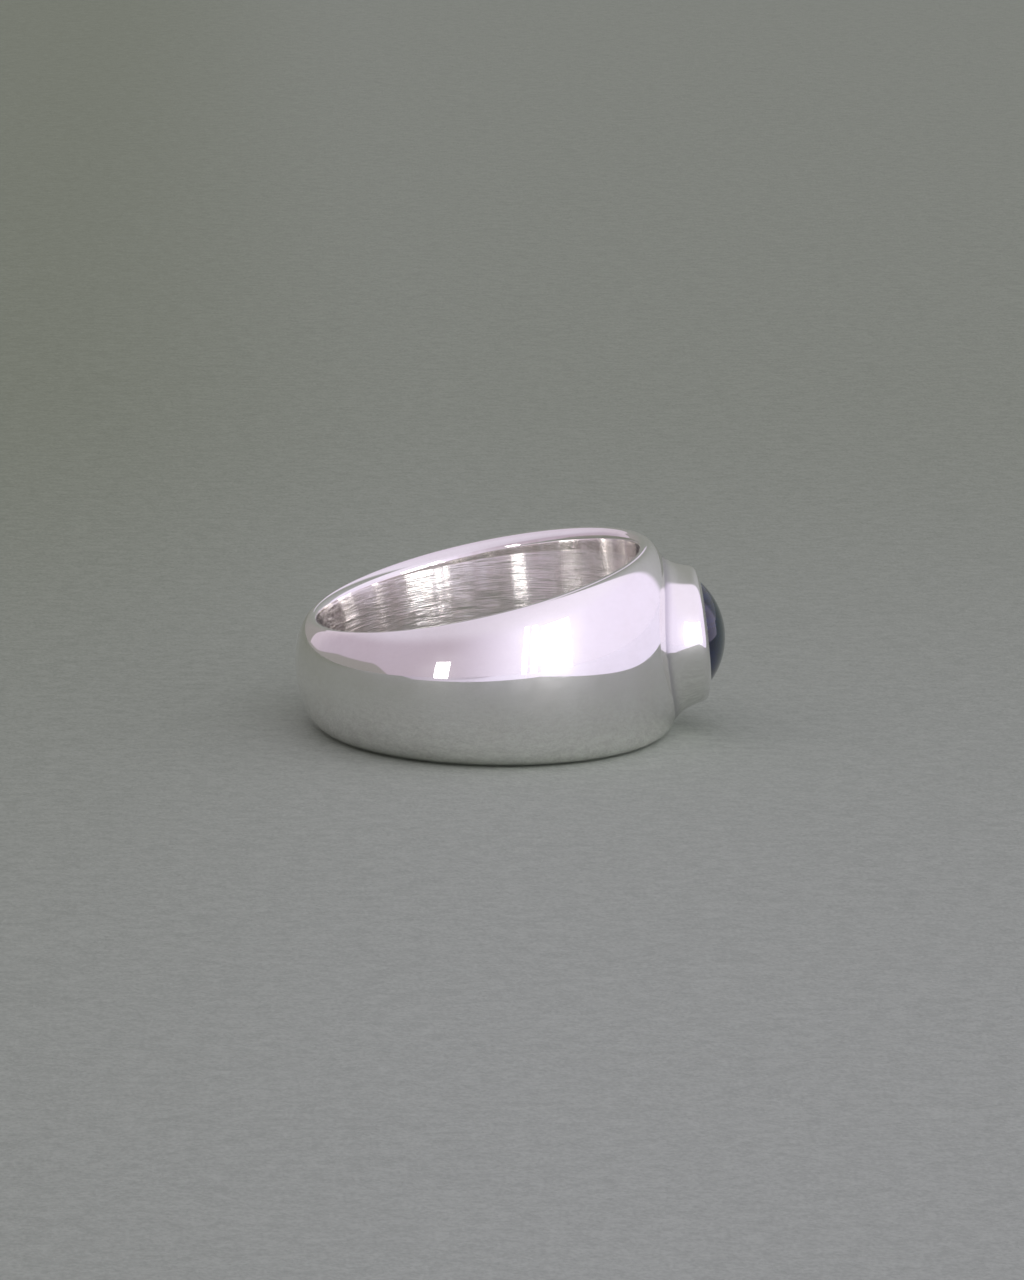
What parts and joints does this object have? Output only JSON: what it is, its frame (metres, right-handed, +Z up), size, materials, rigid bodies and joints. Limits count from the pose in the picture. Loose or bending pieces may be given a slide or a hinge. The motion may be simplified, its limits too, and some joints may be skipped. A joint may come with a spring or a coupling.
{
  "type": "kyanite ring",
  "caption": "Domed silver finger ring, wide at the head and narrow at the back, with a round blue kyanite cabochon in a smooth tube bezel.",
  "frame": {"origin": "middle of the ring's bounding box, on the surface that the ring lies on", "axes": "+X from the finger hole towards the stone, +Z up off the surface, the ring lying on the rim of its band; the hole's axis leans 6.7 degrees from +Z towards -X"},
  "size_m": [0.0225, 0.0214, 0.0099],
  "materials": {
    "silver": "polished sterling silver, satin and lightly tarnished inside the finger hole",
    "kyanite": "polished dark blue-green stone"
  },
  "bodies": {
    "root": {"ring_band": "silver", "kyanite_cabochon": "kyanite"}
  },
  "joints": []
}
